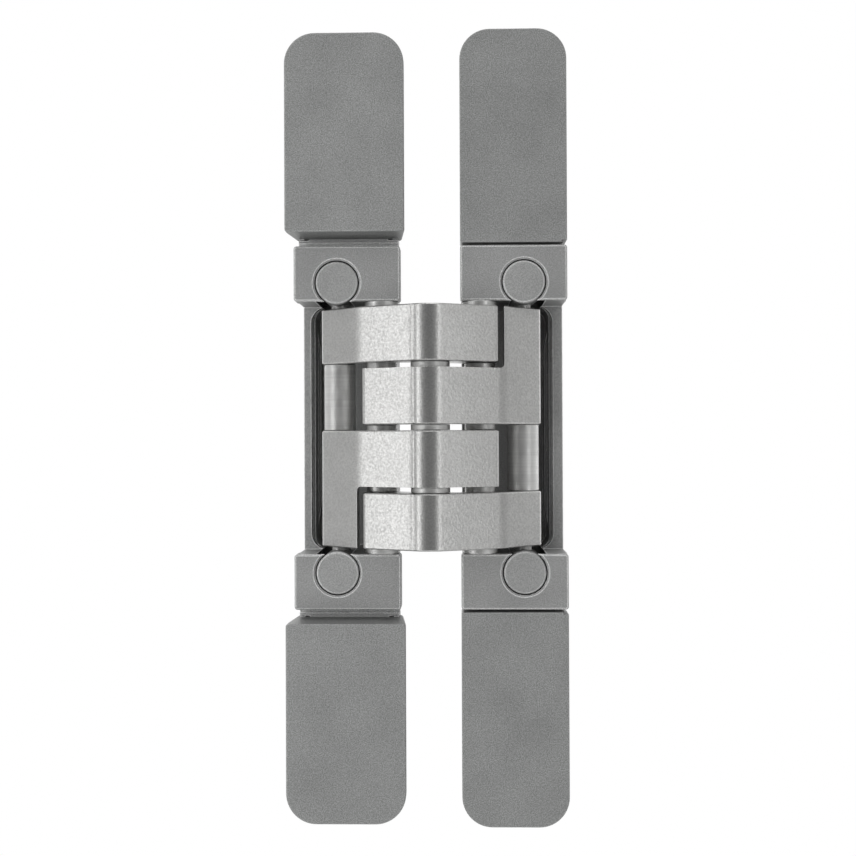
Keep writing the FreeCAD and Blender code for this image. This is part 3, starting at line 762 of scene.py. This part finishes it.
    def add_pegs(self, shape: bmesh.types.BMesh, low: Vector, high: Vector) -> None:
        """Add the two stepped pegs under the roof.

        Args:
            shape: Mesh of the cap.
            low: Lowest corner of the cap's box.
            high: Highest corner of the cap's box.
        """
        root = low.y + self.roof / 2
        middle = (low.x + high.x) / 2
        for side in (-1, 1):
            spot = Vector((middle + side * self.peg_side, 0, self.end.value * self.peg_z))
            for radius, foot in ((self.peg_radius + self.peg_shoulder, self.seat),
                                 (self.peg_radius, self.seat + self.peg_depth)):
                where = Matrix.Translation((spot.x, (root + foot) / 2, spot.z))
                turn = Matrix.Rotation(math.radians(90), 4, "X")
                bmesh.ops.create_cone(shape, cap_ends=True, segments=PEG_SIDES, radius1=radius,
                                      radius2=radius, depth=foot - root, matrix=where @ turn)


@dataclass
class SoftenedNode:
    """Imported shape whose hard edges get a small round.

    Attributes:
        node: Node that the piece is copied from and stands for.
        body: Body that it moves with.
        finish: Its finish.
        radius: Width of the round in millimetres.
    """

    node: str
    body: str
    finish: Finish
    radius: float = 0.18

    def build(self, bench: Bench) -> bpy.types.Object:
        """Weld a copy of the node and round its edges.

        Args:
            bench: Workbench that finishes it.

        Returns:
            The piece.
        """
        shape = bmesh.new()
        shape.from_mesh(bpy.data.objects[self.node].data)
        bmesh.ops.scale(shape, vec=(1 / MM, 1 / MM, 1 / MM), verts=shape.verts)
        bmesh.ops.remove_doubles(shape, verts=shape.verts, dist=MERGE_DISTANCE)
        bmesh.ops.dissolve_limit(shape, angle_limit=FLAT_ANGLE, use_dissolve_boundaries=False,
                                 verts=shape.verts, edges=shape.edges)
        self.refine(shape)
        hard = [edge for edge in shape.edges if len(edge.link_faces) == 2
                and edge.calc_face_angle(0.0) > SMOOTH_ANGLE]
        bmesh.ops.bevel(shape, geom=hard, offset=self.radius, offset_type="OFFSET", segments=EDGE_STEPS,
                        profile=0.5, affect="EDGES", clamp_overlap=True, material=-1)
        return bench.finish(shape, self.node + "_dressed", self.body, self.finish, self.node)

    def refine(self, shape: bmesh.types.BMesh) -> None:
        """Detail that a kind of node gets before its edges are rounded, none unless it is overridden."""


@dataclass
class LinkArm(SoftenedNode):
    """Link arm with a shallow valley beside its knuckle.

    Attributes:
        pin_x: X of the centre pin.
        shoulder: Distance of the knuckle's shoulder from the centre pin.
        bottom: Distance of the valley's bottom from it.
        run: Width of the valley's outer side.
        depth: Depth of the valley.
        grade: Lines on the outer side, as shares of its width and of the depth there.
        facing: Least slant towards the front of the faces that are cut.
        reach: Depth behind the knuckle's crest to which points are sunk.
    """

    pin_x: float = 25.0
    shoulder: float = 4.0
    bottom: float = 4.75
    run: float = 2.4
    depth: float = 0.24
    grade: tuple[tuple[float, float], ...] = ((0.15, 0.72), (0.3, 0.49), (0.5, 0.25), (0.75, 0.06), (1.0, 0.0),
                                              (1.3, 0.0))
    facing: float = 0.3
    reach: float = 2.5

    def refine(self, shape: bmesh.types.BMesh) -> None:
        """Cut lines across the slope and sink each by its share of the valley's depth.

        Args:
            shape: Mesh of the arm.
        """
        crest = min(point.co.y for point in shape.verts)
        flank = (self.shoulder + self.bottom) / 2
        lines = {flank: self.depth / 2, self.bottom: self.depth}
        lines |= {self.bottom + self.run * share: self.depth * sink for share, sink in self.grade}
        for distance in lines:
            shape.normal_update()
            front = [face for face in shape.faces if face.normal.y < -self.facing]
            edges = {edge for face in front for edge in face.edges}
            points = {point for edge in edges for point in edge.verts}
            bmesh.ops.bisect_plane(shape, geom=front + list(edges) + list(points), dist=MERGE_DISTANCE,
                                   plane_co=(self.pin_x - distance, 0, 0), plane_no=(1, 0, 0))
        for point in shape.verts:
            for distance, sink in lines.items():
                if abs(self.pin_x - point.co.x - distance) < LINE_DISTANCE and point.co.y < crest + self.reach:
                    point.co.y += sink


@dataclass
class TurnedPart:
    """Upright turned part: a pin, sleeve, bush or washer, spun where its node is.

    Attributes:
        node: Node that it stands for.
        body: Body that it moves with.
        finish: Its finish.
        bore: Radius of its bore, 0 for a pin.
        neck: Radius of its thinner length, 0 where it has none.
        flange: Height of the flange at its thick end.
        edge: Width of its rounded edges.
    """

    node: str
    body: str
    finish: Finish
    bore: float = 0.0
    neck: float = 0.0
    flange: float = 0.0
    edge: float = 0.3

    def outline(self, radius: float, low: float, high: float, flange_up: bool) -> Corners:
        """Radius and z of the part's half section.

        Args:
            radius: Outer radius.
            low: Lowest z.
            high: Highest z.
            flange_up: Whether the flange is at the upper end.

        Returns:
            The corners of the half section, in order.
        """
        if self.neck <= 0:
            return [(self.bore, low), (radius, low), (radius, high), (self.bore, high)]
        if flange_up:
            step = high - self.flange
            return [(self.bore, low), (self.neck, low), (self.neck, step), (radius, step), (radius, high),
                    (self.bore, high)]
        step = low + self.flange
        return [(self.bore, low), (radius, low), (radius, step), (self.neck, step), (self.neck, high),
                (self.bore, high)]

    def build(self, bench: Bench) -> bpy.types.Object:
        """Spin the half section and round its edges.

        Args:
            bench: Workbench that finishes it.

        Returns:
            The part.
        """
        low, high = node_box(self.node)
        middle = (low + high) / 2
        shape = bmesh.new()
        section = self.outline((high.x - low.x) / 2, low.z, high.z, self.body == "frame_leaf")
        points = [shape.verts.new((middle.x + radius, middle.y, z)) for radius, z in section]
        edges = [shape.edges.new(pair) for pair in zip(points, points[1:])]
        if self.bore > 0:
            edges.append(shape.edges.new((points[-1], points[0])))
        bmesh.ops.spin(shape, geom=points + edges, cent=(middle.x, middle.y, 0), axis=(0, 0, 1),
                       angle=2 * math.pi, steps=SPIN_STEPS, use_merge=True, use_duplicate=False)
        bmesh.ops.remove_doubles(shape, verts=shape.verts, dist=MERGE_DISTANCE)
        rims = [edge for edge in shape.edges if len(edge.link_faces) == 2
                and edge.calc_face_angle(0.0) > RIM_ANGLE]
        bmesh.ops.bevel(shape, geom=rims, offset=self.edge, offset_type="OFFSET", segments=RIM_STEPS,
                        profile=0.5, affect="EDGES", clamp_overlap=True, material=-1)
        return bench.finish(shape, self.node + "_turned", self.body, self.finish, self.node)


@dataclass
class HingeLeaf:
    """Housing, caps and fixed pivot of one leaf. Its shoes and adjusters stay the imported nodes.

    Attributes:
        leaf: Which leaf it is.
        pin_bore: Radius of the bushes' bore.
        bush_radius: Radius of the bushes.
        flange_height: Height of the long bush's flange.
    """

    leaf: Leaf
    pin_bore: float = 3.05
    bush_radius: float = 4.6
    flange_height: float = 1.7

    @property
    def body(self) -> str:
        """Body that the leaf is."""
        return f"{self.leaf.value}_leaf"

    def caps(self) -> list[CoverCap]:
        """The leaf's two caps."""
        if self.leaf is Leaf.FRAME:
            return [CoverCap(self.leaf, end, land=3.0, taper=1.4) for end in End]
        return [CoverCap(self.leaf, end, notch_width=1.6, notch_height=0.7) for end in End]

    def build(self, bench: Bench) -> None:
        """Build every dressed piece of the leaf.

        Args:
            bench: Workbench that finishes them.
        """
        name = self.leaf.value
        for cap in self.caps():
            cap.build(bench)
        SoftenedNode(f"{name}_housing", self.body, Finish.HOUSING).build(bench)
        TurnedPart(f"{name}_pivot_long_bush", self.body, Finish.POLISHED, self.pin_bore, self.bush_radius,
                   self.flange_height).build(bench)
        TurnedPart(f"{name}_pivot_middle_bush", self.body, Finish.POLISHED, self.pin_bore).build(bench)
        TurnedPart(f"{name}_pivot_end_washer", self.body, Finish.POLISHED, self.pin_bore).build(bench)
        TurnedPart(f"{name}_pivot_pin", self.body, Finish.STEEL).build(bench)


@dataclass
class SlideSet:
    """Slider pin with its sleeve and slugs in one leaf.

    Attributes:
        leaf: Leaf that the slugs run in.
        pin_bore: Radius of the sleeve's bore.
        slug_edge: Width of the slugs' rounded edges.
    """

    leaf: Leaf
    pin_bore: float = 2.55
    slug_edge: float = 0.12

    def build(self, bench: Bench) -> None:
        """Build the slide's dressed pieces.

        Args:
            bench: Workbench that finishes them.
        """
        name = self.leaf.value
        body = f"{name}_slider"
        TurnedPart(f"{name}_slider_pin", body, Finish.POLISHED).build(bench)
        TurnedPart(f"{name}_slider_sleeve", body, Finish.POLISHED, self.pin_bore).build(bench)
        for end in End:
            SoftenedNode(f"{name}_slug_{end.label}", body, Finish.SLUG, self.slug_edge).build(bench)


@dataclass
class Linkage:
    """The two interleaved pairs of arms on the centre pin.

    Attributes:
        pin_bore: Radius of the washers' bore.
        edge: Width of the arms' rounded edges.
        washer_edge: Width of the washers' rounded edges.
    """

    pin_bore: float = 3.05
    edge: float = 0.2
    washer_edge: float = 0.15

    def build(self, bench: Bench) -> None:
        """Build the linkage's dressed pieces.

        Args:
            bench: Workbench that finishes them.
        """
        for arm in ("a", "b"):
            for half in ("upper", "lower"):
                LinkArm(f"link_{arm}_{half}", f"arm_{arm}", Finish.ARM, self.edge).build(bench)
        TurnedPart("centre_pin", "arm_b", Finish.STEEL).build(bench)
        for slit in (1, 2, 3):
            TurnedPart(f"centre_washer_{slit}", "arm_b", Finish.POLISHED, self.pin_bore,
                       edge=self.washer_edge).build(bench)


@dataclass(frozen=True)
class SoftBox:
    """Large soft lamp that faces the hinge.

    Attributes:
        name: Name of the lamp.
        azimuth: Degrees to the right of the line from the hinge to the camera.
        elevation: Degrees above the hinge.
        distance: Distance in metres.
        width: Width in metres.
        height: Height in metres.
        power: Power in watts.
        mirrored: Whether shiny surfaces show the lamp itself.
    """

    name: str
    azimuth: float
    elevation: float
    distance: float
    width: float
    height: float
    power: float
    mirrored: bool = True

    def hang(self, target: Vector) -> None:
        """Put the lamp in the scene.

        Args:
            target: Point that it faces.
        """
        light = bpy.data.lights.new(self.name, "AREA")
        light.shape = "RECTANGLE"
        light.size = self.width
        light.size_y = self.height
        light.energy = self.power
        lamp = bpy.data.objects.new(self.name, light)
        side = math.radians(self.azimuth)
        rise = math.radians(self.elevation)
        away = Vector((math.sin(side) * math.cos(rise), -math.cos(side) * math.cos(rise), math.sin(rise)))
        lamp.location = target + away * self.distance
        lamp.rotation_euler = away.to_track_quat("Z", "Y").to_euler()
        lamp.visible_glossy = self.mirrored
        bpy.context.scene.collection.objects.link(lamp)
        LOG.info("lamp %s at %.0f degrees", self.name, self.azimuth)


@dataclass
class Studio:
    """White studio: soft lamps, world, pale floor and the camera.

    Attributes:
        target: Point that the camera and the lamps face, in metres.
        camera_distance: Distance of the camera in metres.
        yaw: Degrees that the camera looks to the right of straight in.
        pitch: Degrees that it looks up.
        roll: Degrees that its right side is raised.
        lens: Focal length in millimetres on a 36 mm sensor.
        shift: Sideways and upward shift of the picture.
        near: Nearest distance that the camera sees, in metres.
        floor_drop: Height of the floor in metres.
        floor_radius: Radius of the floor in metres.
        floor_white: Brightness of the floor.
        floor_roughness: Roughness of the floor.
        room_range: Y of the directions between which the mirrored room goes from dim to bright.
        room_dim: Brightness of the mirrored room on the camera's side.
        soft_level: Brightness of the even soft light.
    """

    target: Vector = field(default_factory=lambda: Vector((0.025, -0.017, 0.0)))
    camera_distance: float = 0.36056
    yaw: float = -1.284
    pitch: float = 0.423
    roll: float = -0.229
    lens: float = 50.74
    shift: tuple[float, float] = (-0.00315, -0.00074)
    near: float = 0.01
    floor_drop: float = -0.45
    floor_radius: float = 0.85
    floor_white: float = 0.86
    floor_roughness: float = 0.9
    room_range: tuple[float, float] = (-0.55, 0.75)
    room_dim: float = 0.16
    soft_level: float = 0.4

    def lamps(self) -> list[SoftBox]:
        """The studio's lamps."""
        return [
            SoftBox("left_key", -52.0, -4.0, 0.9, 0.28, 1.4, 2.35),
            SoftBox("right_fill", 42.0, -2.0, 0.9, 0.26, 1.4, 1.65),
            SoftBox("left_side", -82.0, 0.0, 0.9, 0.45, 1.4, 0.3),
            SoftBox("right_side", 82.0, 0.0, 0.9, 0.45, 1.4, 0.5),
            SoftBox("front_fill", -30.0, 2.0, 0.4, 0.16, 0.16, 0.95, mirrored=False),
            SoftBox("top_soft", -10.0, 78.0, 1.0, 1.0, 0.8, 3.0),
            SoftBox("back_left", -150.0, 15.0, 1.2, 0.7, 1.2, 3.0),
            SoftBox("back_right", 140.0, 20.0, 1.2, 0.7, 1.2, 3.0),
        ]

    def hang_world(self) -> None:
        """White behind the hinge, dim on the camera's side, and an even level of soft light."""
        world = bpy.data.worlds.new("studio_world")
        world.use_nodes = True
        nodes, links = world.node_tree.nodes, world.node_tree.links
        nodes.clear()
        output = nodes.new("ShaderNodeOutputWorld")
        background = nodes.new("ShaderNodeBackground")
        background.inputs["Color"].default_value = (1.0, 1.0, 1.0, 1.0)
        links.new(background.outputs["Background"], output.inputs["Surface"])
        path = nodes.new("ShaderNodeLightPath")
        direction = nodes.new("ShaderNodeSeparateXYZ")
        links.new(nodes.new("ShaderNodeTexCoord").outputs["Generated"], direction.inputs["Vector"])
        room = nodes.new("ShaderNodeMapRange")
        room.interpolation_type = "SMOOTHSTEP"
        dark_end, bright_end = self.room_range
        for name, value in (("From Min", dark_end), ("From Max", bright_end), ("To Min", self.room_dim),
                            ("To Max", 1.0)):
            room.inputs[name].default_value = value
        links.new(direction.outputs["Y"], room.inputs["Value"])
        mirrored = nodes.new("ShaderNodeMath")
        mirrored.operation = "MAXIMUM"
        links.new(path.outputs["Is Glossy Ray"], mirrored.inputs[0])
        links.new(path.outputs["Is Transmission Ray"], mirrored.inputs[1])
        soft = self.blend(nodes, links, mirrored.outputs["Value"], None, room.outputs["Result"], self.soft_level)
        level = self.blend(nodes, links, path.outputs["Is Camera Ray"], soft, None, 1.0)
        links.new(level, background.inputs["Strength"])
        bpy.context.scene.world = world

    @staticmethod
    def blend(nodes: bpy.types.Nodes, links: bpy.types.NodeLinks, factor: bpy.types.NodeSocket,
              first: bpy.types.NodeSocket | None, second: bpy.types.NodeSocket | None,
              constant: float) -> bpy.types.NodeSocket:
        """Mix of two levels, one of which may be a constant.

        Args:
            nodes: Nodes of the tree.
            links: Links of the tree.
            factor: 0 for the first level, 1 for the second.
            first: First level, or None for the constant.
            second: Second level, or None for the constant.
            constant: The constant level.

        Returns:
            The mixed level.
        """
        mix = nodes.new("ShaderNodeMix")
        links.new(factor, mix.inputs["Factor"])
        for name, source in (("A", first), ("B", second)):
            if source is None:
                mix.inputs[name].default_value = constant
            else:
                links.new(source, mix.inputs[name])
        return mix.outputs["Result"]

    def lay_floor(self) -> None:
        """Pale round floor well below the hinge, running out into the white background."""
        shape = bmesh.new()
        bmesh.ops.create_circle(shape, cap_ends=True, segments=FLOOR_SIDES, radius=self.floor_radius,
                                matrix=Matrix.Translation((self.target.x, self.target.y, self.floor_drop)))
        mesh = bpy.data.meshes.new("studio_floor")
        shape.to_mesh(mesh)
        shape.free()
        material = bpy.data.materials.new("pale_floor")
        material.use_nodes = True
        shader = material.node_tree.nodes["Principled BSDF"]
        shader.inputs["Base Color"].default_value = (self.floor_white, self.floor_white, self.floor_white, 1.0)
        shader.inputs["Roughness"].default_value = self.floor_roughness
        mesh.materials.append(material)
        floor = bpy.data.objects.new("studio_floor", mesh)
        bpy.context.scene.collection.objects.link(floor)

    def set_camera(self) -> None:
        """Camera at the photograph's place."""
        yaw, pitch, roll = (math.radians(angle) for angle in (self.yaw, self.pitch, self.roll))
        forward = Vector((math.sin(yaw) * math.cos(pitch), math.cos(yaw) * math.cos(pitch), math.sin(pitch)))
        level = Vector((math.cos(yaw), -math.sin(yaw), 0))
        above = level.cross(forward)
        right = level * math.cos(roll) + above * math.sin(roll)
        up = above * math.cos(roll) - level * math.sin(roll)
        turn = Matrix((right, up, -forward)).transposed()
        data = bpy.data.cameras.new("camera")
        data.sensor_width = SENSOR_WIDTH
        data.lens = self.lens
        data.shift_x, data.shift_y = self.shift
        data.clip_start = self.near
        camera = bpy.data.objects.new("camera", data)
        camera.matrix_world = Matrix.Translation(self.target - forward * self.camera_distance) @ turn.to_4x4()
        bpy.context.scene.collection.objects.link(camera)
        bpy.context.scene.camera = camera

    def build(self) -> None:
        """Set up the whole studio."""
        for lamp in self.lamps():
            lamp.hang(self.target)
        self.hang_world()
        self.lay_floor()
        self.set_camera()
        bpy.context.scene.view_settings.view_transform = "Standard"


def clear_startup() -> None:
    """Remove what a new Blender file holds."""
    for item in list(bpy.data.objects):
        bpy.data.objects.remove(item)


def main() -> None:
    """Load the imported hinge, dress it and light it."""
    logging.basicConfig(level=logging.INFO, format="%(name)s: %(message)s")
    clear_startup()
    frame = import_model()
    rack = FinishRack()
    rack.mix()
    rack.dress_nodes(frame["nodes"], frame["record"]["subparts"])
    bench = Bench(rack)
    for leaf in Leaf:
        HingeLeaf(leaf).build(bench)
        SlideSet(leaf).build(bench)
    Linkage().build(bench)
    Studio().build()


if __name__ == "__main__":
    main()
